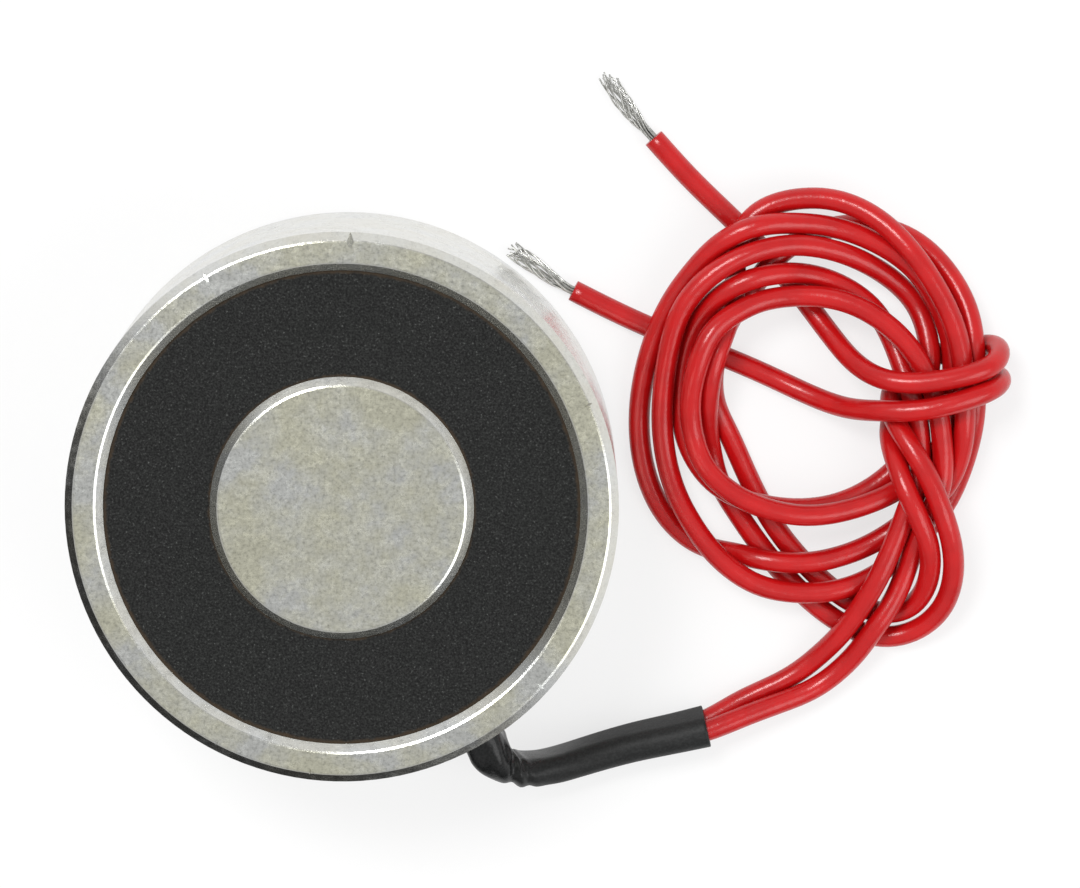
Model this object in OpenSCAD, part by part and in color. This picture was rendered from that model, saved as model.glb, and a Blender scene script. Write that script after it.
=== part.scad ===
// Round holding electromagnet with two flying leads.
// The back face lies on Z = 0 with the magnet axis on Z, and the holding face looks up.

/* [Housing] */
// Outer diameter of the pot
shell_d = 65; // [62:0.5:68]
// Height from the back face to the holding face
shell_h = 30; // [28:0.5:34]
// Thickness of the pot's side wall
wall_t = 4.5; // [3.5:0.1:5.5]
// Thickness of the pot's floor
floor_t = 5.5; // [5:0.1:6]
// Width of the coil channel between the pot's wall and the centre pole
channel_w = 12.5; // [11:0.25:14]
// Chamfer around the outer edge of the holding face
face_chamfer = 1; // [0.4:0.1:1.6]
// Chamfer around the back face
back_chamfer = 0.6; // [0.2:0.1:1.2]
// Chamfer on the pole's edge and the rim's inner edge
pole_chamfer = 0.95; // [0.3:0.05:1.2]
// Width of the small break where a chamfer meets the holding face
edge_break = 0.15; // [0.05:0.05:0.3]

/* [Mounting hole] */
// Outer diameter of the thread in the blind hole in the back face
thread_d = 8; // [5:0.5:10]
// Depth of the bore
tap_depth = 13; // [8:0.5:18]
// Depth of the countersink at the mouth of the bore
tap_chamfer = 0.5; // [0.3:0.1:1]

/* [Coil] */
// Gap between the pole and the coil former
former_gap = 0.2; // [0.1:0.05:0.4]
// Wall of the former's tube and flanges
former_t = 1; // [0.8:0.1:1.4]
// Gap between the flanges and the pot wall, filled with resin
flange_gap = 0.5; // [0.3:0.1:0.9]
// How far the flanges reach past the taped winding
flange_lip = 2.5; // [1.5:0.1:5]
// Thickness of the insulating tape around the winding
tape_t = 0.3; // [0.2:0.05:0.5]
// Thickness of the resin over the upper flange
resin_cap_t = 1; // [0.6:0.1:2]
// Depth of the resin surface below the holding face
resin_recess = 1.3; // [1:0.1:2]

/* [Leads] */
// Outer diameter of one insulated lead
lead_d = 2.6; // [2.4:0.05:2.6]
// Wall of the shrink sleeve over both leads
sleeve_wall = 0.5; // [0.4:0.05:0.55]
// Gap between the leads and the sleeve's bore
sleeve_gap = 0.15; // [0.1:0.05:0.2]
// Diameter of the exit hole in the pot wall
exit_d = 6.7; // [6.6:0.05:6.8]
// Direction of the exit hole around the axis
exit_angle = -62; // [-64:1:-60]
// Diameter of one bare strand
strand_d = 0.2; // [0.16:0.01:0.22]

/* [Joints] */
// Sideways spread of the two soldered joints
joint_spread = 1.5; // [1.3:0.05:2]
// Distance of the winding's two ends from the former's tube
tail_inset = 0.7; // [0.5:0.05:1]
// Run of a winding end from its bend to the soldered joint
tail_run = 1.2; // [1:0.1:2]
// Diameter of a soldered joint
solder_d = 1.6; // [1.2:0.1:2]
// Length of a soldered joint
solder_len = 3; // [2.5:0.1:3.5]
// Wall of the shrink sleeve over a joint
joint_sleeve_wall = 0.3; // [0.2:0.05:0.35]
// Length of a joint sleeve
joint_sleeve_len = 5.2; // [4.5:0.1:5.2]
// Diameter of the enamelled winding wire
tail_d = 0.5; // [0.3:0.05:0.6]

/* [Hidden] */
$fn = 96;
eps = 0.01;

shell_r = shell_d / 2;
inner_r = shell_r - wall_t;
pole_r = inner_r - channel_w;
sleeve_half = lead_d + sleeve_gap + sleeve_wall;
exit_z = floor_t + exit_d / 2 + 0.05;
edge_down = edge_break / sqrt(2);
former_r = pole_r + former_gap;
former_z = exit_z + sleeve_half + 0.2;
resin_top = shell_h - resin_recess;
former_top = resin_top - resin_cap_t;
flange_r = inner_r - flange_gap;
tape_r = flange_r - flange_lip;
winding_r = tape_r - tape_t;
tail_r = former_r + former_t + tail_inset;
joint_r = tail_r + tail_run;
jacket_start_r = joint_r + solder_len;
joint_sleeve_r = lead_d / 2 + joint_sleeve_wall;
joint_sleeve_start = jacket_start_r + 1.5;
sleeve_start_r = inner_r - 1.4;
sides = 8;
bore_sides = 16;

// Nicks in the outer edge of the holding face: direction, width, tilt, distance past the chamfer
nicks = [
    [88, 1.3, 24, 1], [120, 0.9, 20, 1], [23, 0.8, 22, 0.9], [-42, 0.9, 24, 1],
    [-97, 0.6, 18, 0.9], [-118, 0.7, 20, 1], [171, 0.6, 20, 1]
];

// Routes, in millimetres. Both leads leave the pot stacked in the sleeve, lie down side by
// side, are wound three and a half turns into a loose coil, and wrap once around its right side.
sleeve_route = [
    [17, -31.9, 8.3], [18.3, -33.7, 7.4], [20.4, -34.7, 6.3], [23.6, -34.9, 5], [27.4, -34.2, 3.8],
    [31, -33.2, 3.3], [35, -32.1, 3.3], [39.2, -31.2, 3.3], [43.5, -30.2, 3.3]
];
sleeve_lean = 18;
lead_a_coil = [
    [48, -27.2, 1.3], [53.5, -24.7, 1.3], [57.3, -21.6, 2], [60.1, -18.4, 4.1], [62.5, -14.7, 5.4],
    [64.5, -11, 6.3], [66.2, -7, 6.3], [67.9, -2.5, 6.4], [69.1, 1.5, 6.3], [69.2, 5.5, 5.8],
    [68.5, 9.5, 6.5], [67.3, 13.2, 5.6], [66, 16.8, 4.3], [63.8, 20.8, 4], [60, 23.7, 4],
    [55.5, 25.3, 4.6], [51, 25.4, 6.8], [46.8, 24.1, 7], [43.4, 21.2, 5.8], [41.2, 17, 4.2],
    [40.4, 12, 3.2], [40.5, 7, 2.9], [42.2, 2.5, 4.1], [45.5, -1, 4.3], [50.5, -2.9, 4.1],
    [56, -3.4, 3.4], [61, -2.3, 2.7], [65.1, 0.1, 2], [67.8, 3, 2], [69, 6.5, 2.8],
    [69.5, 9.5, 4], [70.4, 13.5, 4.1], [70.2, 17.3, 3.6], [68.8, 21.4, 2.4], [65.3, 24.9, 2.9],
    [60, 27.8, 5], [54, 29, 6.4], [48.5, 28, 7.5], [43.8, 25.4, 7.6], [40.3, 21.3, 7.2],
    [38.8, 16, 6.3], [38.1, 10.5, 5.2], [38.2, 5, 4], [39.5, -0.8, 4], [42, -5.5, 4.4],
    [45, -9.3, 4.9], [49.6, -12.6, 4.6], [55, -13.6, 4.1], [60, -13.2, 3.9], [64.5, -11.4, 2.8],
    [68.2, -8.5, 1.6], [71.5, -4.8, 1.3], [73.6, -1.2, 1.5], [75.1, 3.3, 2.6], [75.9, 8, 4.3],
    [75.9, 12.5, 4.6], [75.7, 17.1, 4.6], [74.7, 21.7, 3.4], [71.7, 26.4, 2], [67.5, 29.7, 1.4],
    [62, 31, 1.3], [57, 30.3, 2], [53.4, 28.5, 3.5], [50.7, 26.1, 4.1], [48.9, 23.1, 2],
    [46.7, 20.2, 1.8], [45.3, 17.4, 3.4], [44.5, 15, 4.1], [44.2, 12, 3.2], [44.7, 8.7, 1.8],
    [46.4, 5.2, 1.3], [48.5, 0.4, 1.3], [51.3, -5, 1.3], [55, -9.8, 1.3], [59.5, -14, 1.3],
    [64, -16.3, 1.3], [67.8, -16, 1.9], [70, -13.2, 4.2], [70.5, -9.3, 7], [69.7, -5.6, 8.8],
    [67.9, -1.6, 9.3], [66.5, 2, 7.9], [65.7, 4.9, 5.5]
];
lead_a_wrap = [
    [65.9, 7.4, 3.2], [67.3, 9.6, 1.5], [70.5, 11, 1.3], [75.5, 12.3, 1.3], [78.3, 12.8, 2.6],
    [78.9, 12.5, 5.4], [77.8, 11.8, 8.2], [75, 10.8, 9.6], [69.5, 9.4, 10], [64.3, 9.2, 8.6],
    [60.3, 9.1, 5.1], [56, 10.4, 2.5], [51.5, 12.4, 1.4], [46, 14.8, 1.3], [39.5, 17.3, 1.3],
    [33.3, 20, 1.3], [27.3, 23, 1.3]
];
lead_b_coil = [
    [48, -28.9, 3.9], [52.5, -27.3, 3.2], [57.1, -25.5, 2.4], [61.2, -21.9, 3], [63.5, -18.5, 4.4],
    [65.8, -15.2, 4.6], [67.5, -11.5, 4.5], [68.7, -7.6, 5.1], [70.2, -4, 6.2], [71.7, -0.4, 6.8],
    [71.9, 3.6, 6.9], [71.5, 7.8, 6.9], [70.7, 11.2, 7], [69.2, 14.5, 7.1], [66.9, 17.7, 6.8],
    [63.5, 20.5, 6.7], [59.5, 22.3, 6.4], [55.1, 22.8, 6.1], [50.6, 22.4, 6.6], [47.3, 21.1, 7.6],
    [44, 18.8, 8.8], [42.3, 14.8, 8.8], [41.4, 10.5, 7.6], [41.8, 6, 6.3], [43.3, 2, 6.8],
    [46.5, -1, 6.9], [50.5, -2.9, 6.8], [55.5, -3.9, 6.3], [60.5, -3.3, 5.4], [65, -1.8, 4.6],
    [68.6, 0.3, 3.6], [71.3, 3.1, 3.7], [72.5, 6.3, 3.8], [73.1, 9.5, 4.1], [73.2, 13.5, 4.1],
    [72.9, 17.5, 4.1], [71.3, 21.7, 4.1], [68.4, 26, 4.2], [64, 29, 4.1], [59, 30.9, 4.5],
    [54, 31.5, 5.6], [49.3, 31.3, 6.9], [45.1, 29.3, 6.4], [42, 26, 5.2], [39.3, 22.3, 4.6],
    [37.3, 18, 4], [35.9, 13, 2.9], [35.3, 7.5, 1.4], [35.8, 2, 1.3], [37.6, -3, 1.3],
    [40.5, -6.6, 1.3], [43.8, -8.5, 1.3], [46.9, -9, 2], [49.8, -9.5, 3.9], [54.5, -10, 4.1],
    [59, -9.4, 3.7], [63.3, -7.9, 3.1], [67, -5.6, 2.9], [70, -3, 3.4], [72.3, -0.9, 4.1],
    [73.9, 2.6, 4.9], [74.5, 6.5, 6.5], [74.5, 11, 6.8], [74.1, 15.5, 6.8], [73, 19.7, 6.7],
    [70.9, 23.9, 6.9], [67.8, 28.4, 6.9], [64, 32, 5.4], [59.5, 34.1, 4.4], [55, 34.4, 4.1],
    [51, 33.5, 4.1], [48.2, 31.3, 4.1], [46.9, 27.5, 3.6], [46.9, 23.4, 4], [46.2, 20.1, 4.9],
    [45, 17, 6.6], [44, 13.7, 6.8], [43.6, 10, 5.4], [43.6, 6.5, 3.4], [44.2, 2.9, 1.7],
    [45.2, -0.7, 1.3], [47.6, -4.6, 1.3], [50.9, -9.3, 1.3], [55.2, -14, 1.3], [59.9, -17.7, 1.3],
    [65, -19.5, 1.3], [69.5, -18.3, 2.1], [72.3, -15.2, 4.1], [73.3, -11.2, 6.2], [73, -7.2, 8.1],
    [71.8, -3.2, 9.4], [70.2, 0.8, 9.4], [68.3, 4.2, 8.9], [66.2, 7.5, 6.9]
];
lead_b_wrap = [
    [65.7, 10.2, 4.5], [67, 12.6, 2.2], [69.7, 14.7, 1.3], [74.6, 15.8, 1.3], [77.8, 16.5, 2.4],
    [78.7, 16, 5.4], [77.8, 14.8, 8.4], [75, 13.7, 9.7], [69.5, 12.7, 9.8], [65, 12.9, 9],
    [61.5, 14.5, 6.2], [58.8, 17.4, 3.8], [56.3, 20.6, 2], [53, 24.8, 1.3], [48, 30.3, 1.3],
    [42, 36, 1.3], [37, 41.5, 1.3]
];
lead_a_tip = [
    [27.3, 23, 1.3], [26.3, 23.5, 1.3], [24.7, 24.5, 1.3], [22.8, 25.9, 1.3], [21.2, 27, 1.3], [19.8, 27.9, 1.3]
];
lead_b_tip = [
    [37, 41.5, 1.3], [36, 42.6, 1.3], [34.8, 43.9, 1.3], [33.6, 45.5, 1.3], [32.4, 47.2, 1.3], [31.3, 49, 1.3]
];

// Vectors and frames along a route
function unit(v) = v / norm(v);
function heading(p, i) = unit(p[min(i + 1, len(p) - 1)] - p[max(i - 1, 0)]);
function side_of(t) = unit(cross([0, 0, 1], t));
function turned(n, t) = unit(n - t * (n * t));
function normals(p) = [
    for (i = 0, n = side_of(heading(p, 0)); i < len(p);
         i = i + 1, n = i < len(p) ? turned(n, heading(p, i)) : n) n
];

// A point given by its distance from the axis along the exit, its sideways offset and its height
function exit_point(r, t, z) = [
    r * cos(exit_angle) - t * sin(exit_angle), r * sin(exit_angle) + t * cos(exit_angle), z
];

// The sleeve's centre line, and the two leads stacked inside it
sleeve_line = concat([for (r = [sleeve_start_r, inner_r, shell_r]) exit_point(r, 0, exit_z)], sleeve_route);
function stack_dir(i) =
    let (
        t = heading(sleeve_line, i), n = side_of(t),
        lean = sleeve_lean * max(0, i - 2) / (len(sleeve_line) - 3)
    )
    cos(lean) * cross(t, n) - sin(lean) * n;
function stacked(sign) = [
    for (i = [0 : len(sleeve_line) - 1]) sleeve_line[i] + sign * lead_d / 2 * stack_dir(i)
];
function inner_run(sign) = [
    exit_point(jacket_start_r, sign * joint_spread, exit_z + sign * lead_d / 2),
    exit_point(joint_sleeve_start + 0.3, sign * joint_spread, exit_z + sign * lead_d / 2)
];
lead_a_line = concat(inner_run(-1), stacked(-1), lead_a_coil, lead_a_wrap);
lead_b_line = concat(inner_run(1), stacked(1), lead_b_coil, lead_b_wrap);

// Triangles between ring i and the next ring, for rings of n points
function band(n, i) = [
    for (k = [0 : n - 1])
        each [[i * n + k, (i + 1) * n + k, i * n + (k + 1) % n],
              [i * n + (k + 1) % n, (i + 1) * n + k, (i + 1) * n + (k + 1) % n]]
];

module tube(p, d, n) {
    side = normals(p);
    points = [
        for (i = [0 : len(p) - 1])
            let (u = side[i], v = cross(heading(p, i), u))
            for (k = [0 : n - 1]) p[i] + d / 2 * (cos(360 * k / n) * u + sin(360 * k / n) * v)
    ];
    last = (len(p) - 1) * n;
    faces = concat(
        [[for (k = [0 : n - 1]) k]],
        [for (i = [0 : len(p) - 2]) each band(n, i)],
        [[for (k = [n - 1 : -1 : 0]) last + k]]
    );
    polyhedron(points, faces, convexity = 10);
}

// Straight round rod between two points
module rod(a, b, d) {
    v = b - a;
    translate(a)
        rotate([0, acos(v[2] / norm(v)), atan2(v[1], v[0])])
            cylinder(h = norm(v), d = d);
}

// Frame of the exit hole: X points out of the pot
module at_exit(z) {
    rotate([0, 0, exit_angle]) translate([0, 0, z]) children();
}

module pot_housing() {
    color([0.70, 0.70, 0.67])
    difference() {
        rotate_extrude()
            polygon([
                [0, 0], [shell_r - back_chamfer, 0], [shell_r, back_chamfer],
                [shell_r, shell_h - face_chamfer],
                [shell_r - face_chamfer + edge_down, shell_h - edge_down],
                [shell_r - face_chamfer - edge_break, shell_h],
                [inner_r + pole_chamfer + edge_break, shell_h],
                [inner_r + pole_chamfer - edge_down, shell_h - edge_down],
                [inner_r, shell_h - pole_chamfer], [inner_r, floor_t],
                [pole_r, floor_t], [pole_r, shell_h - pole_chamfer],
                [pole_r - pole_chamfer + edge_down, shell_h - edge_down],
                [pole_r - pole_chamfer - edge_break, shell_h], [0, shell_h]
            ]);
        for (n = nicks)
            rotate([0, 0, n[0]]) translate([shell_r - face_chamfer + n[3], 0, shell_h])
                rotate([0, n[2], 0]) rotate([45, 0, 0]) cube([3, n[1], n[1]], center = true);
        translate([0, 0, -eps]) cylinder(h = tap_depth + eps, d = thread_d);
        translate([0, 0, -eps])
            cylinder(h = tap_chamfer + eps, r1 = thread_d / 2 + tap_chamfer + eps, r2 = thread_d / 2);
        at_exit(exit_z)
            translate([inner_r - 1, 0, 0]) rotate([0, 90, 0]) cylinder(h = wall_t + 2, d = exit_d);
    }
}

module ring(r_in, r_out, z, h) {
    translate([0, 0, z])
        rotate_extrude() translate([r_in, 0]) square([r_out - r_in, h]);
}

module coil_former() {
    color([0.93, 0.92, 0.86])
    difference() {
        union() {
            ring(former_r, former_r + former_t, former_z, former_top - former_z);
            ring(former_r, flange_r, former_z, former_t);
            ring(former_r, flange_r, former_top - former_t, former_t);
        }
        for (s = [-1, 1])
            translate(exit_point(tail_r, s * joint_spread, former_z - 1))
                cylinder(h = former_t + 2, d = tail_d + 0.4);
    }
}

module coil_winding() {
    color([0.72, 0.38, 0.20])
        ring(former_r + former_t, winding_r, former_z + former_t, former_top - former_z - 2 * former_t);
}

module winding_tape() {
    color([0.90, 0.78, 0.30])
        ring(winding_r, tape_r, former_z + former_t, former_top - former_z - 2 * former_t);
}

// Everything the resin flows around
module resin_hollows() {
    ring(pole_r - 1, flange_r, former_z, former_t);
    ring(pole_r - 1, flange_r, former_top - former_t, former_t);
    ring(pole_r - 1, tape_r, former_z, former_top - former_z);
    for (s = [-1, 1]) {
        bend = inner_run(s)[1];
        stack = sleeve_line[0] + s * [0, 0, lead_d / 2];
        rod(bend, stack + 0.25 * (stack - bend), lead_d);
        at_exit(exit_z + s * lead_d / 2) {
            translate([sleeve_start_r - eps, 0, 0])
                rotate([0, 90, 0]) cylinder(h = wall_t, r = sleeve_half - lead_d / 2);
            translate([joint_sleeve_start - joint_sleeve_len, s * joint_spread, 0])
                rotate([0, 90, 0]) cylinder(h = joint_sleeve_len + 1.2, r = joint_sleeve_r);
            translate([tail_r, s * joint_spread, 0]) {
                sphere(d = tail_d);
                rotate([0, 90, 0]) cylinder(h = joint_r - tail_r, d = tail_d);
                cylinder(h = former_z, d = tail_d);
            }
        }
    }
    at_exit(exit_z - lead_d / 2)
        translate([sleeve_start_r - eps, -sleeve_half + lead_d / 2, 0])
            cube([wall_t, 2 * sleeve_half - lead_d, lead_d]);
}

module potting_resin() {
    color([0.10, 0.10, 0.10])
    difference() {
        ring(pole_r, inner_r, floor_t, resin_top - floor_t);
        resin_hollows();
    }
}

// Enamelled wire from a soldered joint up into the underside of the winding
module winding_tail(sign) {
    color([0.66, 0.30, 0.12])
        at_exit(exit_z + sign * lead_d / 2)
            translate([tail_r, sign * joint_spread, 0]) {
                sphere(d = tail_d);
                rotate([0, 90, 0]) cylinder(h = joint_r - tail_r, d = tail_d);
                cylinder(h = former_z + former_t - exit_z - sign * lead_d / 2, d = tail_d);
            }
}

module winding_tail_start() {
    winding_tail(-1);
}

module winding_tail_finish() {
    winding_tail(1);
}

module solder_joint(sign) {
    color([0.78, 0.78, 0.80])
        at_exit(exit_z + sign * lead_d / 2)
            translate([joint_r, sign * joint_spread, 0])
                rotate([0, 90, 0]) cylinder(h = solder_len, d = solder_d);
}

module solder_joint_a() {
    solder_joint(-1);
}

module solder_joint_b() {
    solder_joint(1);
}

module joint_sleeve(sign) {
    color([0.12, 0.12, 0.12])
        at_exit(exit_z + sign * lead_d / 2)
            translate([joint_sleeve_start - joint_sleeve_len, sign * joint_spread, 0])
                rotate([0, 90, 0])
                    difference() {
                        cylinder(h = joint_sleeve_len, r = joint_sleeve_r);
                        translate([0, 0, -1]) cylinder(h = joint_sleeve_len + 2, d = lead_d);
                    }
}

module joint_sleeve_a() {
    joint_sleeve(-1);
}

module joint_sleeve_b() {
    joint_sleeve(1);
}

// One loop of the sleeve's stadium section, r from the centres of the two leads
function stadium(i, r) =
    let (w = stack_dir(i), u = cross(heading(sleeve_line, i), w))
    [for (k = [0 : bore_sides - 1])
        let (a = 360 * (k + 0.5) / bore_sides, up = sin(a) > 0 ? 1 : -1)
        sleeve_line[i] + r * (cos(a) * u + sin(a) * w) + up * lead_d / 2 * w];

module lead_sleeve() {
    n = bore_sides;
    rings = len(sleeve_line);
    outer = [for (i = [0 : rings - 1]) each stadium(i, sleeve_half - lead_d / 2)];
    bore = [for (i = [0 : rings - 1]) each stadium(i, lead_d / 2 + sleeve_gap)];
    shift = rings * n;
    last = (rings - 1) * n;
    outside = [for (i = [0 : rings - 2]) each band(n, i)];
    inside = [for (i = [0 : rings - 2]) for (f = band(n, i)) [for (v = [2 : -1 : 0]) shift + f[v]]];
    start = [
        for (k = [0 : n - 1])
            let (m = (k + 1) % n) each [[k, m, shift + m], [k, shift + m, shift + k]]
    ];
    end = [
        for (k = [0 : n - 1])
            let (m = (k + 1) % n)
            each [[last + m, last + k, shift + last + k], [last + m, shift + last + k, shift + last + m]]
    ];
    color([0.08, 0.08, 0.09])
        polyhedron(concat(outer, bore), concat(outside, inside, start, end), convexity = 8);
}

module lead_a_jacket() {
    color([0.76, 0.07, 0.08]) tube(lead_a_line, lead_d, sides);
}

module lead_b_jacket() {
    color([0.76, 0.07, 0.08]) tube(lead_b_line, lead_d, sides);
}

// Bare strands: a centre strand, five around it and ten outside, twisted and splayed
strand_sides = 4;
strand_pitch = 1.2;
strand_twist = 50;
strand_splay = 1.5;
strand_seat = [
    [0, 0],
    for (k = [0 : 4]) [strand_pitch * strand_d, 72 * k],
    for (k = [0 : 9]) [2 * strand_pitch * strand_d, 36 * k]
];
function strand_line(p, j) =
    let (side = normals(p), reach = 1 + 0.12 * sin(97 * j))
    [for (i = [0 : len(p) - 1])
        let (
            t = heading(p, i), u = side[i], v = cross(t, u), s = max(0, i - 1) / (len(p) - 2),
            a = strand_seat[j][1] + strand_twist * s, r = strand_seat[j][0] * (1 + strand_splay * s)
        )
        p[i] + r * (cos(a) * u + sin(a) * v) + (i == len(p) - 1 ? (reach - 1) * 5 * t : [0, 0, 0])];

module strands(p) {
    color([0.72, 0.72, 0.70])
        for (j = [0 : len(strand_seat) - 1]) tube(strand_line(p, j), strand_d, strand_sides);
}

module lead_a_strands() {
    strands(lead_a_tip);
}

module lead_b_strands() {
    strands(lead_b_tip);
}

pot_housing();
coil_former();
coil_winding();
winding_tape();
potting_resin();
winding_tail_start();
winding_tail_finish();
solder_joint_a();
solder_joint_b();
joint_sleeve_a();
joint_sleeve_b();
lead_sleeve();
lead_a_jacket();
lead_b_jacket();
lead_a_strands();
lead_b_strands();
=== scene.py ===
"""Look of a round holding electromagnet with two red flying leads."""
import math
import random

import bpy
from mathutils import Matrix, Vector


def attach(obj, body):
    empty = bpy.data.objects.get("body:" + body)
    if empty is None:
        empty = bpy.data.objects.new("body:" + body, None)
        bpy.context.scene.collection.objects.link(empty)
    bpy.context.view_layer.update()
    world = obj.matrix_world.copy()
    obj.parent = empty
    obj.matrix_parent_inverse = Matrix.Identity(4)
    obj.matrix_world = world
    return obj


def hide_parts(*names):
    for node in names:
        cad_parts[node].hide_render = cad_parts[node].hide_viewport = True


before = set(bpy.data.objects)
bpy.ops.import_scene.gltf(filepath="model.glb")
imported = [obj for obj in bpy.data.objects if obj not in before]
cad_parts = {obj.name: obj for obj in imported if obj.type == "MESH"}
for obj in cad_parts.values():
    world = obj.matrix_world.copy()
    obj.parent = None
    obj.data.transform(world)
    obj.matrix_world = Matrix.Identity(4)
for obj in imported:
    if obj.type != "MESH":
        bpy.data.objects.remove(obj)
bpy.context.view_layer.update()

MM = 0.001
BODY = "root"

# Sizes of the solids, in millimetres
SHELL_R = 32.5
SHELL_H = 30
INNER_R = 28
POLE_R = 15.5
EXIT_ANGLE = math.radians(-62)
EXIT_Z = 8.9
LEAD_D = 2.6
SLEEVE_WALL = 0.5
SLEEVE_GAP = 0.15
SLEEVE_LEAN = math.radians(18)
SLEEVE_START_R = 26.6
JACKET_START_R = 21.6
JOINT_SPREAD = 1.5
JACKET_STRAIGHT = 1.8
THREAD_R = 4

# Ridge of the M8 thread: turned between the hole's mouth and its bottom
THREAD_PITCH = 1.25
THREAD_DEPTH = 0.68
THREAD_CREST = 0.08
THREAD_MOUTH = 0.45
THREAD_BOTTOM = 12.95

# Rings that close a lead's cut end: distance past the end, and radius
CUT_END = ((0.04, 1.24), (0.05, 1.1), (0.05, 0.62), (-0.6, 0.56))

# Bare strands: radii of the two layers, start inside the lead, twist in degrees, and bulge
STRAND_D = 0.2
STRAND_COUNT = 16
STRAND_LAYERS = (0.24, 0.46)
STRAND_ROOT = 0.5
STRAND_TWIST = 190
STRAND_BULGE = 1.3

# Shrink sleeve: width at each point of its line, and its folds by place, breadth and height
SLEEVE_WIDTHS = (1, 1.02, 1.3, 1.28, 1.08, 0.96, 0.94, 0.95, 0.96, 0.97, 0.98, 1.02)
FOLDS = ((4.75, 0.16, 0.2), (5.3, 0.2, 0.1), (4.38, 0.2, -0.38), (5.05, 0.14, -0.14))

# Fineness of the round pieces: steps from point to point, and sides around
LEAD_STEPS, LEAD_SIDES = 6, 20
STRAND_STEPS, STRAND_SIDES = 5, 8
SLEEVE_STEPS, SLEEVE_SIDES = 16, 64
THREAD_SIDES = 48

# Camera: a long lens high above the magnet, in metres
LENS = 200
SENSOR = 36
CAMERA_PLACE = (0.02324, 0.09151, 0.72646)
CAMERA_LEAN = math.radians(-6.862)

# Surroundings: share of the floor that shows as plain paper, and its half width; the direction
# away from the dark side, and where along it the floor starts to darken and is dark
PAPER_SHARE = 0.72
FLOOR_REACH = 3000
BRIGHT_SIDE = (0.75, 1, 0)
DARK_START, DARK_FULL = -55, -120
WORLD_STRENGTH = 0.75

# Lights: name, place and size in metres, and power in watts
LIGHTS = (("key", (-0.35, 0.55, 1.2), 0.4, 10), ("fill", (0.7, -0.3, 0.9), 0.7, 4))
LIGHT_TARGET = (0.02, 0, 0)

# Routes of the sleeve and the leads, in millimetres
SLEEVE_ROUTE = [
    (17, -31.9, 8.3), (18.3, -33.7, 7.4), (20.4, -34.7, 6.3), (23.6, -34.9, 5), (27.4, -34.2, 3.8),
    (31, -33.2, 3.3), (35, -32.1, 3.3), (39.2, -31.2, 3.3), (43.5, -30.2, 3.3)
]
LEAD_A_COIL = [
    (48, -27.2, 1.3), (53.5, -24.7, 1.3), (57.3, -21.6, 2), (60.1, -18.4, 4.1), (62.5, -14.7, 5.4),
    (64.5, -11, 6.3), (66.2, -7, 6.3), (67.9, -2.5, 6.4), (69.1, 1.5, 6.3), (69.2, 5.5, 5.8),
    (68.5, 9.5, 6.5), (67.3, 13.2, 5.6), (66, 16.8, 4.3), (63.8, 20.8, 4), (60, 23.7, 4),
    (55.5, 25.3, 4.6), (51, 25.4, 6.8), (46.8, 24.1, 7), (43.4, 21.2, 5.8), (41.2, 17, 4.2),
    (40.4, 12, 3.2), (40.5, 7, 2.9), (42.2, 2.5, 4.1), (45.5, -1, 4.3), (50.5, -2.9, 4.1),
    (56, -3.4, 3.4), (61, -2.3, 2.7), (65.1, 0.1, 2), (67.8, 3, 2), (69, 6.5, 2.8),
    (69.5, 9.5, 4), (70.4, 13.5, 4.1), (70.2, 17.3, 3.6), (68.8, 21.4, 2.4), (65.3, 24.9, 2.9),
    (60, 27.8, 5), (54, 29, 6.4), (48.5, 28, 7.5), (43.8, 25.4, 7.6), (40.3, 21.3, 7.2),
    (38.8, 16, 6.3), (38.1, 10.5, 5.2), (38.2, 5, 4), (39.5, -0.8, 4), (42, -5.5, 4.4),
    (45, -9.3, 4.9), (49.6, -12.6, 4.6), (55, -13.6, 4.1), (60, -13.2, 3.9), (64.5, -11.4, 2.8),
    (68.2, -8.5, 1.6), (71.5, -4.8, 1.3), (73.6, -1.2, 1.5), (75.1, 3.3, 2.6), (75.9, 8, 4.3),
    (75.9, 12.5, 4.6), (75.7, 17.1, 4.6), (74.7, 21.7, 3.4), (71.7, 26.4, 2), (67.5, 29.7, 1.4),
    (62, 31, 1.3), (57, 30.3, 2), (53.4, 28.5, 3.5), (50.7, 26.1, 4.1), (48.9, 23.1, 2),
    (46.7, 20.2, 1.8), (45.3, 17.4, 3.4), (44.5, 15, 4.1), (44.2, 12, 3.2), (44.7, 8.7, 1.8),
    (46.4, 5.2, 1.3), (48.5, 0.4, 1.3), (51.3, -5, 1.3), (55, -9.8, 1.3), (59.5, -14, 1.3),
    (64, -16.3, 1.3), (67.8, -16, 1.9), (70, -13.2, 4.2), (70.5, -9.3, 7), (69.7, -5.6, 8.8),
    (67.9, -1.6, 9.3), (66.5, 2, 7.9), (65.7, 4.9, 5.5)
]
LEAD_A_WRAP = [
    (65.9, 7.4, 3.2), (67.3, 9.6, 1.5), (70.5, 11, 1.3), (75.5, 12.3, 1.3), (78.3, 12.8, 2.6),
    (78.9, 12.5, 5.4), (77.8, 11.8, 8.2), (75, 10.8, 9.6), (69.5, 9.4, 10), (64.3, 9.2, 8.6),
    (60.3, 9.1, 5.1), (56, 10.4, 2.5), (51.5, 12.4, 1.4), (46, 14.8, 1.3), (39.5, 17.3, 1.3),
    (33.3, 20, 1.3), (27.3, 23, 1.3)
]
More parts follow.
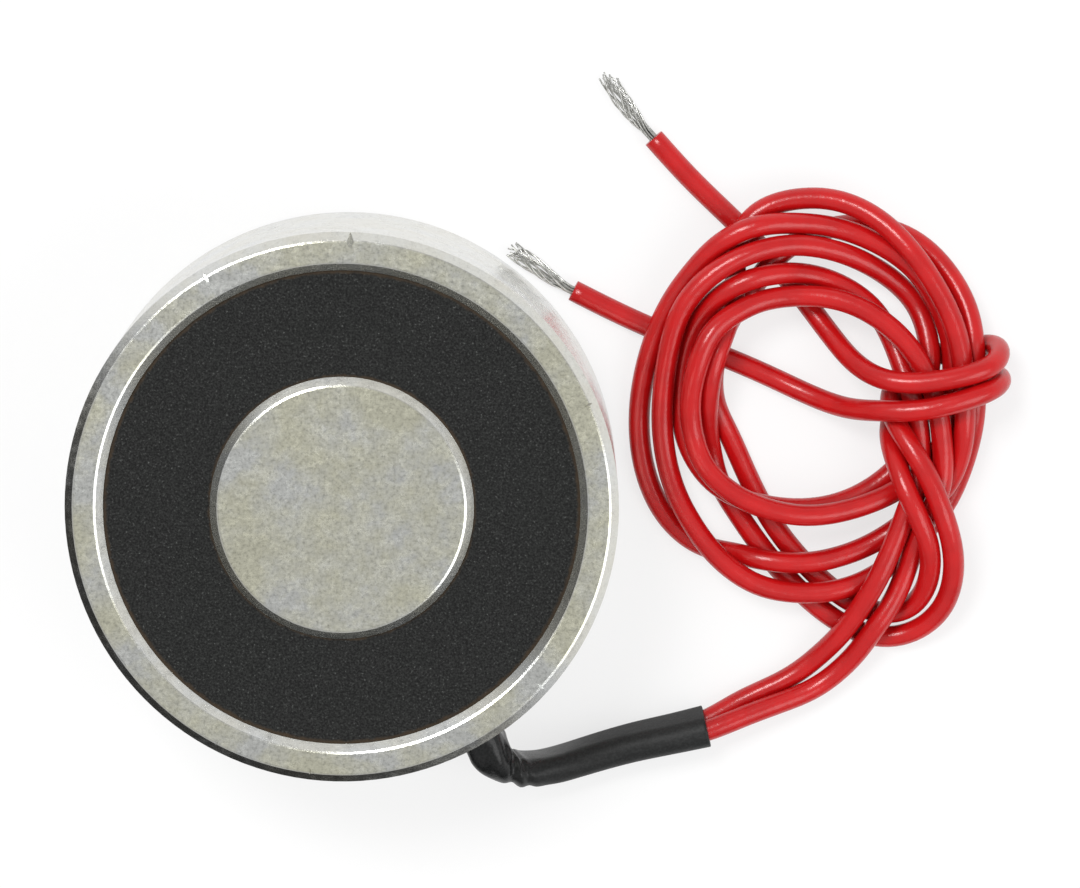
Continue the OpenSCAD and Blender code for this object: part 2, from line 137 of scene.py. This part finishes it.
LEAD_B_COIL = [
    (48, -28.9, 3.9), (52.5, -27.3, 3.2), (57.1, -25.5, 2.4), (61.2, -21.9, 3), (63.5, -18.5, 4.4),
    (65.8, -15.2, 4.6), (67.5, -11.5, 4.5), (68.7, -7.6, 5.1), (70.2, -4, 6.2), (71.7, -0.4, 6.8),
    (71.9, 3.6, 6.9), (71.5, 7.8, 6.9), (70.7, 11.2, 7), (69.2, 14.5, 7.1), (66.9, 17.7, 6.8),
    (63.5, 20.5, 6.7), (59.5, 22.3, 6.4), (55.1, 22.8, 6.1), (50.6, 22.4, 6.6), (47.3, 21.1, 7.6),
    (44, 18.8, 8.8), (42.3, 14.8, 8.8), (41.4, 10.5, 7.6), (41.8, 6, 6.3), (43.3, 2, 6.8),
    (46.5, -1, 6.9), (50.5, -2.9, 6.8), (55.5, -3.9, 6.3), (60.5, -3.3, 5.4), (65, -1.8, 4.6),
    (68.6, 0.3, 3.6), (71.3, 3.1, 3.7), (72.5, 6.3, 3.8), (73.1, 9.5, 4.1), (73.2, 13.5, 4.1),
    (72.9, 17.5, 4.1), (71.3, 21.7, 4.1), (68.4, 26, 4.2), (64, 29, 4.1), (59, 30.9, 4.5),
    (54, 31.5, 5.6), (49.3, 31.3, 6.9), (45.1, 29.3, 6.4), (42, 26, 5.2), (39.3, 22.3, 4.6),
    (37.3, 18, 4), (35.9, 13, 2.9), (35.3, 7.5, 1.4), (35.8, 2, 1.3), (37.6, -3, 1.3),
    (40.5, -6.6, 1.3), (43.8, -8.5, 1.3), (46.9, -9, 2), (49.8, -9.5, 3.9), (54.5, -10, 4.1),
    (59, -9.4, 3.7), (63.3, -7.9, 3.1), (67, -5.6, 2.9), (70, -3, 3.4), (72.3, -0.9, 4.1),
    (73.9, 2.6, 4.9), (74.5, 6.5, 6.5), (74.5, 11, 6.8), (74.1, 15.5, 6.8), (73, 19.7, 6.7),
    (70.9, 23.9, 6.9), (67.8, 28.4, 6.9), (64, 32, 5.4), (59.5, 34.1, 4.4), (55, 34.4, 4.1),
    (51, 33.5, 4.1), (48.2, 31.3, 4.1), (46.9, 27.5, 3.6), (46.9, 23.4, 4), (46.2, 20.1, 4.9),
    (45, 17, 6.6), (44, 13.7, 6.8), (43.6, 10, 5.4), (43.6, 6.5, 3.4), (44.2, 2.9, 1.7),
    (45.2, -0.7, 1.3), (47.6, -4.6, 1.3), (50.9, -9.3, 1.3), (55.2, -14, 1.3), (59.9, -17.7, 1.3),
    (65, -19.5, 1.3), (69.5, -18.3, 2.1), (72.3, -15.2, 4.1), (73.3, -11.2, 6.2), (73, -7.2, 8.1),
    (71.8, -3.2, 9.4), (70.2, 0.8, 9.4), (68.3, 4.2, 8.9), (66.2, 7.5, 6.9)
]
LEAD_B_WRAP = [
    (65.7, 10.2, 4.5), (67, 12.6, 2.2), (69.7, 14.7, 1.3), (74.6, 15.8, 1.3), (77.8, 16.5, 2.4),
    (78.7, 16, 5.4), (77.8, 14.8, 8.4), (75, 13.7, 9.7), (69.5, 12.7, 9.8), (65, 12.9, 9),
    (61.5, 14.5, 6.2), (58.8, 17.4, 3.8), (56.3, 20.6, 2), (53, 24.8, 1.3), (48, 30.3, 1.3),
    (42, 36, 1.3), (37, 41.5, 1.3)
]
LEAD_A_TIP = [
    (27.3, 23, 1.3), (26.3, 23.5, 1.3), (24.7, 24.5, 1.3),
    (22.8, 25.9, 1.3), (21.2, 27, 1.3), (19.8, 27.9, 1.3)
]
LEAD_B_TIP = [
    (37, 41.5, 1.3), (36, 42.6, 1.3), (34.8, 43.9, 1.3),
    (33.6, 45.5, 1.3), (32.4, 47.2, 1.3), (31.3, 49, 1.3)
]


def make_camera():
    data = bpy.data.cameras.new("camera")
    data.sensor_width = SENSOR
    data.lens = LENS
    camera = bpy.data.objects.new("camera", data)
    camera.location = CAMERA_PLACE
    camera.rotation_euler = (CAMERA_LEAN, 0, 0)
    bpy.context.collection.objects.link(camera)
    bpy.context.scene.camera = camera


# Routes

def exit_point(radius, sideways, height):
    """A point by its distance from the axis along the exit, its sideways offset and its height."""
    along = Vector((math.cos(EXIT_ANGLE), math.sin(EXIT_ANGLE), 0))
    across = Vector((-along.y, along.x, 0))
    return along * radius + across * sideways + Vector((0, 0, height))


def heading(points, i):
    return (points[min(i + 1, len(points) - 1)] - points[max(i - 1, 0)]).normalized()


def vectors(points):
    return [Vector(p) for p in points]


SLEEVE_LINE = [
    *(exit_point(radius, 0, EXIT_Z) for radius in (SLEEVE_START_R, INNER_R, SHELL_R)),
    *vectors(SLEEVE_ROUTE),
]


def stack_direction(i):
    """Direction from the lower lead to the upper one at point i of the sleeve."""
    along = heading(SLEEVE_LINE, i)
    across = Vector((0, 0, 1)).cross(along).normalized()
    lean = SLEEVE_LEAN * max(0, i - 2) / (len(SLEEVE_LINE) - 3)
    return math.cos(lean) * along.cross(across) - math.sin(lean) * across


def lead_points(sign, coil, wrap):
    """Control points of a whole lead: joint, sleeve, coil and wrap."""
    z = EXIT_Z + sign * LEAD_D / 2
    inner = [
        exit_point(JACKET_START_R, sign * JOINT_SPREAD, z),
        exit_point(JACKET_START_R + JACKET_STRAIGHT, sign * JOINT_SPREAD, z),
    ]
    stack = [
        SLEEVE_LINE[i] + sign * LEAD_D / 2 * stack_direction(i) for i in range(len(SLEEVE_LINE))
    ]
    return inner + stack + vectors(coil) + vectors(wrap)


def smooth(points, steps):
    """Uniform cubic B-spline that passes close by the points, from the first to the last."""
    inner = [
        b + (2 * b - a - c) / 6 for a, b, c in zip(points, points[1:], points[2:])
    ]
    points = [points[0], *inner, points[-1]]
    points = [2 * points[0] - points[1], *points, 2 * points[-1] - points[-2]]
    line = []
    for i in range(1, len(points) - 2):
        for k in range(steps):
            t = k / steps
            weights = (
                (1 - t) ** 3,
                3 * t ** 3 - 6 * t ** 2 + 4,
                -3 * t ** 3 + 3 * t ** 2 + 3 * t + 1,
                t ** 3,
            )
            line.append(sum((w * points[i - 1 + j] for j, w in enumerate(weights)), Vector()) / 6)
    line.append(points[-2])
    return line


def transported(line):
    """One side vector for each point, carried along the line without twisting."""
    side = Vector((0, 0, 1)).cross(heading(line, 0)).normalized()
    sides = []
    for i in range(len(line)):
        along = heading(line, i)
        side = (side - along * side.dot(along)).normalized()
        sides.append(side)
    return sides


# Mesh helpers

def mesh_object(name, points, faces, material, smooth_shading=True):
    mesh = bpy.data.meshes.new(name)
    mesh.from_pydata([p * MM for p in points], [], faces)
    mesh.materials.append(material)
    for polygon in mesh.polygons:
        polygon.use_smooth = smooth_shading
    mesh.update()
    piece = bpy.data.objects.new(name, mesh)
    bpy.context.collection.objects.link(piece)
    return piece


def loft(rings, closed_start=True, closed_end=True, first=0):
    """Faces between rings of equal size, with caps where asked for."""
    n = len(rings[0])
    faces = []
    for i in range(len(rings) - 1):
        for k in range(n):
            a, b = first + i * n + k, first + i * n + (k + 1) % n
            faces.append((a, b, b + n, a + n))
    if closed_start:
        faces.append(tuple(first + k for k in range(n - 1, -1, -1)))
    if closed_end:
        faces.append(tuple(first + (len(rings) - 1) * n + k for k in range(n)))
    return faces


def circle(centre, side, along, radius, sides):
    other = along.cross(side)
    return [
        centre + radius * (math.cos(a) * side + math.sin(a) * other)
        for a in (2 * math.pi * k / sides for k in range(sides))
    ]


# Materials

def new_material(name):
    material = bpy.data.materials.new(name)
    material.use_nodes = True
    nodes, links = material.node_tree.nodes, material.node_tree.links
    return material, nodes, links, nodes["Principled BSDF"]


def mapped(nodes, links, scale):
    """Object coordinates in millimetres times the scale of each axis."""
    coordinates = nodes.new("ShaderNodeTexCoord")
    mapping = nodes.new("ShaderNodeMapping")
    mapping.inputs["Scale"].default_value = [v / MM for v in scale]
    links.new(coordinates.outputs["Object"], mapping.inputs["Vector"])
    return mapping.outputs["Vector"]


def noise_of(nodes, links, vector, scale, detail=4, roughness=0.5):
    texture = nodes.new("ShaderNodeTexNoise")
    texture.inputs["Scale"].default_value = scale
    texture.inputs["Detail"].default_value = detail
    texture.inputs["Roughness"].default_value = roughness
    links.new(vector, texture.inputs["Vector"])
    return texture.outputs["Fac"]


def ramp(nodes, links, value, stops):
    """Colour ramp of (position, colour) stops."""
    node = nodes.new("ShaderNodeValToRGB")
    elements = node.color_ramp.elements
    while len(elements) < len(stops):
        elements.new(0.5)
    for element, (position, colour) in zip(elements, stops):
        element.position = position
        element.color = (*colour, 1)
    links.new(value, node.inputs["Fac"])
    return node.outputs["Color"]


def level(value):
    return (value, value, value)


def mix(nodes, links, factor, first, second, blend="MIX"):
    node = nodes.new("ShaderNodeMix")
    node.data_type = "RGBA"
    node.blend_type = blend
    for socket, value in zip((0, 6, 7), (factor, first, second)):
        if isinstance(value, (int, float)):
            node.inputs[socket].default_value = value
        elif isinstance(value, tuple):
            node.inputs[socket].default_value = (*value, 1)
        else:
            links.new(value, node.inputs[socket])
    return node.outputs[2]


def arithmetic(nodes, links, operation, *values):
    """Math node whose inputs are numbers or sockets."""
    node = nodes.new("ShaderNodeMath")
    node.operation = operation
    for socket, value in zip(node.inputs, values):
        if isinstance(value, (int, float)):
            socket.default_value = value
        else:
            links.new(value, socket)
    return node.outputs[0]


def map_range(nodes, links, value, low, high):
    """The value's place between low and high, from 0 to 1."""
    node = nodes.new("ShaderNodeMapRange")
    node.inputs["From Min"].default_value = low
    node.inputs["From Max"].default_value = high
    links.new(value, node.inputs["Value"])
    return node.outputs["Result"]


def dot_product(nodes, links, vector, direction):
    """How far a vector reaches in a direction."""
    node = nodes.new("ShaderNodeVectorMath")
    node.operation = "DOT_PRODUCT"
    node.inputs[1].default_value = direction
    links.new(vector, node.inputs[0])
    return node.outputs["Value"]


def add_bump(nodes, links, shader, height, distance, under=None):
    """Bump of a distance in millimetres, over another bump if there is one."""
    bump = nodes.new("ShaderNodeBump")
    bump.inputs["Distance"].default_value = distance * MM
    bump.inputs["Strength"].default_value = 1
    links.new(height, bump.inputs["Height"])
    if under:
        links.new(under, bump.inputs["Normal"])
    links.new(bump.outputs["Normal"], shader.inputs["Normal"])
    return bump.outputs["Normal"]


def radius_of(nodes, links):
    """Distance from the magnet's axis in millimetres."""
    flat = mapped(nodes, links, (1, 1, 0))
    length = nodes.new("ShaderNodeVectorMath")
    length.operation = "LENGTH"
    links.new(flat, length.inputs[0])
    return length.outputs["Value"]


def plated_steel():
    """Nickel plate on turned steel, with dull spots, and warm stains on the worn holding face."""
    material, nodes, links, shader = new_material("plated_steel")
    shader.inputs["Metallic"].default_value = 1
    place = mapped(nodes, links, (1, 1, 1))
    height = dot_product(nodes, links, place, (0, 0, 1))
    worn = map_range(nodes, links, height, SHELL_H - 0.1, SHELL_H - 0.02)
    cloud = noise_of(nodes, links, place, 0.13, 5, 0.6)
    clean_stain = ramp(nodes, links, cloud, [
        (0.36, (0.69, 0.70, 0.69)), (0.47, (0.71, 0.71, 0.67)), (0.60, (0.70, 0.69, 0.63))
    ])
    worn_stain = ramp(nodes, links, cloud, [
        (0.38, (0.69, 0.70, 0.675)), (0.46, (0.72, 0.72, 0.635)), (0.60, (0.71, 0.70, 0.56))
    ])
    stain = mix(nodes, links, worn, clean_stain, worn_stain)
    fine = noise_of(nodes, links, place, 2.2, 8, 0.75)
    clean_mottle = ramp(nodes, links, fine, [
        (0.34, level(0.87)), (0.5, level(0.98)), (0.66, level(1.03))
    ])
    worn_mottle = ramp(nodes, links, fine, [
        (0.34, level(0.62)), (0.5, level(0.97)), (0.66, level(1.15))
    ])
    mottle = mix(nodes, links, worn, clean_mottle, worn_mottle)
    spots = noise_of(nodes, links, place, 0.75, 6, 0.7)
    dull = ramp(nodes, links, spots, [(0.30, level(0.72)), (0.40, level(1))])
    colour = mix(nodes, links, 1, stain, mottle, "MULTIPLY")
    colour = mix(nodes, links, 0.8, colour, dull, "MULTIPLY")
    scratches = noise_of(nodes, links, mapped(nodes, links, (0.09, 4.5, 1)), 1, 5, 0.75)
    lines = ramp(nodes, links, scratches, [(0.66, level(1)), (0.70, level(0.92))])
    colour = mix(nodes, links, 1, colour, lines, "MULTIPLY")
    links.new(colour, shader.inputs["Base Color"])
    rough = ramp(nodes, links, spots, [(0.3, level(0.34)), (0.5, level(0.22)), (0.7, level(0.16))])
    links.new(rough, shader.inputs["Roughness"])
    radians_per_mm = 48
    turns = arithmetic(nodes, links, "MULTIPLY", radius_of(nodes, links), radians_per_mm)
    lathe = arithmetic(nodes, links, "SINE", turns)
    under = add_bump(nodes, links, shader, lathe, 0.0006)
    under = add_bump(nodes, links, shader, scratches, 0.012, under)
    add_bump(nodes, links, shader, fine, 0.008, under)
    return material


def black_resin():
    """Matt casting resin with a fine grain and a brown line at its edges."""
    material, nodes, links, shader = new_material("black_resin")
    place = mapped(nodes, links, (1, 1, 1))
    grain = noise_of(nodes, links, place, 4, 3, 0.7)
    speck = ramp(nodes, links, grain, [
        (0.40, (0.003, 0.0032, 0.0031)), (0.64, (0.021, 0.0222, 0.021)), (0.74, (0.11, 0.115, 0.11))
    ])
    wobble = noise_of(nodes, links, place, 0.8, 3, 0.6)
    shifted = arithmetic(nodes, links, "MULTIPLY_ADD", wobble, 0.8, radius_of(nodes, links))
    far = 30
    edge = ramp(nodes, links, arithmetic(nodes, links, "DIVIDE", shifted, far), [
        ((POLE_R + 0.43) / far, level(1)), ((POLE_R + 0.73) / far, level(0)),
        ((INNER_R - 0.1) / far, level(0)), ((INNER_R + 0.29) / far, level(1)),
    ])
    colour = mix(nodes, links, edge, speck, (0.04, 0.026, 0.014))
    links.new(colour, shader.inputs["Base Color"])
    shader.inputs["Roughness"].default_value = 0.7
    shader.inputs["Specular IOR Level"].default_value = 0.22
    under = add_bump(nodes, links, shader, grain, 0.05)
    add_bump(nodes, links, shader, noise_of(nodes, links, place, 0.12, 2, 0.5), 0.3, under)
    return material


def red_pvc():
    """Smooth red insulation with a soft shine and a faint ripple."""
    material, nodes, links, shader = new_material("red_pvc")
    place = mapped(nodes, links, (1, 1, 1))
    cloud = noise_of(nodes, links, place, 0.25, 3, 0.5)
    colour = ramp(nodes, links, cloud, [(0.35, (0.42, 0.003, 0.004)), (0.65, (0.50, 0.005, 0.006))])
    links.new(colour, shader.inputs["Base Color"])
    shader.inputs["Roughness"].default_value = 0.26
    shader.inputs["Specular IOR Level"].default_value = 0.5
    ripple = noise_of(nodes, links, place, 0.9, 3, 0.6)
    under = add_bump(nodes, links, shader, ripple, 0.05)
    add_bump(nodes, links, shader, noise_of(nodes, links, place, 6, 2, 0.5), 0.006, under)
    return material


def black_sleeve():
    """Shrink sleeve with a fine matt grain, glossy where it is squeezed near the pot."""
    material, nodes, links, shader = new_material("black_sleeve")
    place = mapped(nodes, links, (1, 1, 1))
    grain = noise_of(nodes, links, place, 3.5, 4, 0.7)
    colour = ramp(nodes, links, grain, [
        (0.4, (0.008, 0.0085, 0.0085)), (0.75, (0.024, 0.025, 0.025))
    ])
    links.new(colour, shader.inputs["Base Color"])
    far = 60
    out = arithmetic(nodes, links, "DIVIDE", radius_of(nodes, links), far)
    matt = ramp(nodes, links, out, [(39.6 / far, level(0.16)), (43.8 / far, level(0.5))])
    links.new(matt, shader.inputs["Roughness"])
    shader.inputs["Specular IOR Level"].default_value = 0.29
    under = add_bump(nodes, links, shader, grain, 0.03)
    add_bump(nodes, links, shader, noise_of(nodes, links, place, 0.35, 2, 0.5), 0.12, under)
    return material


def tinned_copper():
    """Tinned wire and solder, darker in patches."""
    material, nodes, links, shader = new_material("tinned_copper")
    place = mapped(nodes, links, (1, 1, 1))
    cloud = noise_of(nodes, links, place, 1.5, 3, 0.6)
    colour = ramp(nodes, links, cloud, [(0.35, (0.42, 0.42, 0.40)), (0.65, (0.66, 0.66, 0.63))])
    links.new(colour, shader.inputs["Base Color"])
    shader.inputs["Metallic"].default_value = 1
    shader.inputs["Roughness"].default_value = 0.3
    return material


def simple_material(name, colour, roughness, metallic=0.0):
    """Material of an inner piece, with a slight variation of colour."""
    material, nodes, links, shader = new_material(name)
    cloud = noise_of(nodes, links, mapped(nodes, links, (1, 1, 1)), 0.6, 3, 0.6)
    darker = tuple(0.8 * c for c in colour)
    varied = ramp(nodes, links, cloud, [(0.35, darker), (0.65, colour)])
    links.new(varied, shader.inputs["Base Color"])
    shader.inputs["Roughness"].default_value = roughness
    shader.inputs["Metallic"].default_value = metallic
    return material


# Leads

def make_lead(name, points, material):
    """Insulation of one lead, with a cut end that shows its thickness."""
    line = smooth(points, LEAD_STEPS)
    for p in line:
        p.z = max(p.z, LEAD_D / 2)
    sides = transported(line)
    rings = [
        circle(p, sides[i], heading(line, i), LEAD_D / 2, LEAD_SIDES) for i, p in enumerate(line)
    ]
    along, side, end = heading(line, len(line) - 1), sides[-1], line[-1]
    for offset, radius in CUT_END:
        rings.append(circle(end + offset * along, side, along, radius, LEAD_SIDES))
    piece = mesh_object(name, [p for ring in rings for p in ring], loft(rings), material)
    return piece, line


def make_strands(name, tip, seed, material):
    """Bare strands: one in the middle, five around it and ten outside, twisted like a rope."""
    within, outside = STRAND_LAYERS
    around = STRAND_COUNT - 6
    seats = [
        (0, 0),
        *((within, 360 / 5 * k) for k in range(5)),
        *((outside, 360 / around * k) for k in range(around)),
    ]
    shuffled = random.Random(seed)
    points, faces = [], []
    axis = vectors(tip)
    side_vectors = transported(axis)
    for radius, degrees in seats:
        control = []
        reach = shuffled.uniform(-1.0, 0.8)
        drift = shuffled.uniform(-16, 16)
        bulge = STRAND_BULGE * shuffled.uniform(0.85, 1.15)
        for i, p in enumerate(axis):
            share = max(0, i - 1) / (len(axis) - 2)
            angle = math.radians(degrees + drift + (STRAND_TWIST + drift) * share)
            along = heading(axis, i)
            other = along.cross(side_vectors[i])
            out = radius * (1 + bulge * math.sin(math.pi * min(0.8, 0.65 * share)))
            q = p + out * (math.cos(angle) * side_vectors[i] + math.sin(angle) * other)
            if i == len(axis) - 1:
                q += reach * along
            q.z = max(q.z, STRAND_D / 2)
            control.append(q)
        line = smooth([control[0] - STRAND_ROOT * heading(axis, 0), *control], STRAND_STEPS)
        sides = transported(line)
        rings = [
            circle(p, sides[i], heading(line, i), STRAND_D / 2, STRAND_SIDES)
            for i, p in enumerate(line)
        ]
        faces += loft(rings, first=len(points))
        points += [p for ring in rings for p in ring]
    return mesh_object(name, points, faces, material)


# Sleeve

def between(values, at):
    """The value at a place between two entries of a list."""
    low = min(int(at), len(values) - 2)
    share = at - low
    return (1 - share) * values[low] + share * values[low + 1]


def peak(at, centre, breadth):
    return math.exp(-((at - centre) / breadth) ** 2)


def crease(at, angle):
    """How far the sleeve's skin stands out at its kink and its crumpled root."""
    tilt = 0.35 * math.cos(angle)
    folds = sum(height * peak(at, place + tilt, breadth) for place, breadth, height in FOLDS)
    root = 0.2 * peak(at, 3.3, 0.7) * math.sin(4 * angle + 2.1 * at)
    soft = 0.08 * peak(at, 6.3, 0.7) * math.sin(3 * angle + 1)
    outer_side = -0.3 * peak(at, 4.6, 1.3) * max(0, -math.cos(angle))
    return max(-0.45, folds + root + soft + outer_side)


def stadium(centre, stack, across, radius, width, at=None):
    """Ring around both leads, with the folds at a place along the sleeve if one is given."""
    ring = []
    for k in range(SLEEVE_SIDES):
        a = 2 * math.pi * (k + 0.5) / SLEEVE_SIDES
        up = LEAD_D / 2 * (1 if math.sin(a) > 0 else -1)
        out = radius if at is None else radius + crease(at, a)
        ring.append(centre + out * width * math.cos(a) * across + (out * math.sin(a) + up) * stack)
    return ring


def make_sleeve(material):
    """Shrink sleeve around both leads: crumpled root, sharp kink, plain run and cut mouth."""
    line = smooth(SLEEVE_LINE, SLEEVE_STEPS)
    stacks = [stack_direction(i) for i in range(len(SLEEVE_LINE))]
    inside = LEAD_D / 2 + SLEEVE_GAP
    outer, bore = [], []
    for i, centre in enumerate(line):
        at = min(i / SLEEVE_STEPS, len(SLEEVE_LINE) - 1)
        along = heading(line, i)
        stack = between(stacks, at)
        stack = (stack - along * stack.dot(along)).normalized()
        across = along.cross(stack)
        width = between(SLEEVE_WIDTHS, at)
        outer.append(stadium(centre, stack, across, inside + SLEEVE_WALL, width, at))
        bore.append(stadium(centre, stack, across, inside, width))
    past = 0.07 * heading(line, len(line) - 1)
    rim = [0.35 * p + 0.65 * q + past for p, q in zip(bore[-1], outer[-1])]
    rings = [*outer, rim, *bore[::-1]]
    faces = loft(rings, False, False)
    last = (len(rings) - 1) * SLEEVE_SIDES
    for k in range(SLEEVE_SIDES):
        m = (k + 1) % SLEEVE_SIDES
        faces.append((last + k, last + m, m, k))
    return mesh_object("shrink_sleeve", [p for ring in rings for p in ring], faces, material)


# Thread

def make_thread(material):
    """Helical ridge of the M8 thread in the blind hole."""
    start, stop = -0.9, 12.6
    total = int((stop - start) / THREAD_PITCH * THREAD_SIDES)
    root, crest = 0.44 * THREAD_PITCH, THREAD_CREST
    crest_r = THREAD_R - THREAD_DEPTH
    profile = ((THREAD_R, -root), (crest_r, -crest), (crest_r, crest), (THREAD_R, root))
    points, faces = [], []
    for i in range(total + 1):
        a = 2 * math.pi * i / THREAD_SIDES
        z = start + THREAD_PITCH * i / THREAD_SIDES
        outward = Vector((math.cos(a), math.sin(a), 0))
        for radius, dz in profile:
            height = min(max(z + dz, THREAD_MOUTH), THREAD_BOTTOM)
            points.append(outward * radius + Vector((0, 0, height)))
    for i in range(total):
        for k in range(4):
            m = (k + 1) % 4
            faces.append((4 * i + k, 4 * i + m, 4 * i + 4 + m, 4 * i + 4 + k))
    faces.append((3, 2, 1, 0))
    faces.append(tuple(4 * total + k for k in range(4)))
    return mesh_object("mounting_thread", points, faces, material, False)


# Surroundings

def area_light(name, location, target, size, power):
    data = bpy.data.lights.new(name, "AREA")
    data.shape = "SQUARE"
    data.size = size
    data.energy = power
    light = bpy.data.objects.new(name, data)
    light.location = location
    light.rotation_euler = (Vector(target) - Vector(location)).to_track_quat("-Z", "Y").to_euler()
    bpy.context.collection.objects.link(light)


def glow(nodes, value):
    """Even light of one grey value."""
    node = nodes.new("ShaderNodeEmission")
    node.inputs["Color"].default_value = (*level(value), 1)
    node.inputs["Strength"].default_value = 1
    return node.outputs[0]


def blended(nodes, links, share, first, second):
    node = nodes.new("ShaderNodeMixShader")
    for socket, value in zip(node.inputs, (share, first, second)):
        links.new(value, socket)
    return node.outputs[0]


def make_floor():
    """Paper-white floor that keeps the shadows, with a dark side that only metal mirrors."""
    material, nodes, links, shader = new_material("floor")
    shader.inputs["Base Color"].default_value = (0.82, 0.82, 0.82, 1)
    shader.inputs["Roughness"].default_value = 0.9
    shader.inputs["Specular IOR Level"].default_value = 0.1
    rays = nodes.new("ShaderNodeLightPath").outputs
    seen = arithmetic(nodes, links, "MAXIMUM", rays["Is Camera Ray"], rays["Is Glossy Ray"])
    share = arithmetic(nodes, links, "MULTIPLY", seen, PAPER_SHARE)
    paper = blended(nodes, links, share, shader.outputs[0], glow(nodes, 1))
    side = dot_product(nodes, links, mapped(nodes, links, (1, 1, 1)), BRIGHT_SIDE)
    dark = map_range(nodes, links, side, DARK_START, DARK_FULL)
    mirrored = arithmetic(nodes, links, "MULTIPLY", dark, rays["Is Glossy Ray"])
    surface = blended(nodes, links, mirrored, paper, glow(nodes, 0.03))
    links.new(surface, nodes["Material Output"].inputs["Surface"])
    square = ((-1, -1), (1, -1), (1, 1), (-1, 1))
    corners = [Vector((x * FLOOR_REACH, y * FLOOR_REACH, 0)) for x, y in square]
    floor = mesh_object("floor", corners, [(0, 1, 2, 3)], material, False)


def make_world():
    """White surroundings with a dark side and a grey sky, for the metal to mirror."""
    world = bpy.data.worlds.new("world")
    bpy.context.scene.world = world
    world.use_nodes = True
    nodes, links = world.node_tree.nodes, world.node_tree.links
    background = nodes["Background"]
    background.inputs["Strength"].default_value = WORLD_STRENGTH
    direction = nodes.new("ShaderNodeTexCoord").outputs["Generated"]
    lean = map_range(nodes, links, dot_product(nodes, links, direction, BRIGHT_SIDE), -1.2, 1.2)
    side = ramp(nodes, links, lean, [
        (0.30, level(0.04)), (0.46, level(0.5)), (0.60, level(1.33))
    ])
    high = map_range(nodes, links, dot_product(nodes, links, direction, (0, 0, 1)), 0.2, 0.36)
    mirrored = mix(nodes, links, high, side, level(0.72))
    glossy = nodes.new("ShaderNodeLightPath").outputs["Is Glossy Ray"]
    links.new(mix(nodes, links, glossy, level(1), mirrored), background.inputs["Color"])


def dress(node, material):
    """Gives a solid its material."""
    piece = bpy.data.objects[node]
    piece.data.materials.clear()
    piece.data.materials.append(material)


def main():
    bpy.context.scene.view_settings.view_transform = "Standard"
    make_camera()
    red = red_pvc()
    tin = tinned_copper()
    black = black_sleeve()
    copper = simple_material("enamelled_copper", (0.48, 0.16, 0.06), 0.35, 0.9)
    lead_a, line_a = make_lead("lead_a", lead_points(-1, LEAD_A_COIL, LEAD_A_WRAP), red)
    lead_b, line_b = make_lead("lead_b", lead_points(1, LEAD_B_COIL, LEAD_B_WRAP), red)
    strands_a = make_strands("lead_a_bare_strands", LEAD_A_TIP, 7, tin)
    strands_b = make_strands("lead_b_bare_strands", LEAD_B_TIP, 12, tin)
    sleeve = make_sleeve(black)
    pieces = (
        (lead_a, "lead_a_jacket", "red_pvc"),
        (lead_b, "lead_b_jacket", "red_pvc"),
        (strands_a, "lead_a_strands", "tinned_copper"),
        (strands_b, "lead_b_strands", "tinned_copper"),
        (sleeve, "lead_sleeve", "black_sleeve"),
    )
    for piece, node, slot in pieces:
        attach(piece, BODY)
        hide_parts(node)
    steel = plated_steel()
    dress("pot_housing", steel)
    thread = make_thread(steel)
    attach(thread, BODY)
    dress("potting_resin", black_resin())
    dress("coil_former", simple_material("former_nylon", (0.8, 0.78, 0.7), 0.5))
    dress("winding_tape", simple_material("polyester_tape", (0.75, 0.55, 0.08), 0.3))
    for node in ("coil_winding", "winding_tail_start", "winding_tail_finish"):
        dress(node, copper)
    for end in "ab":
        dress(f"solder_joint_{end}", tin)
        dress(f"joint_sleeve_{end}", black)
    make_floor()
    make_world()
    for name, place, size, power in LIGHTS:
        area_light(name, place, LIGHT_TARGET, size, power)


main()
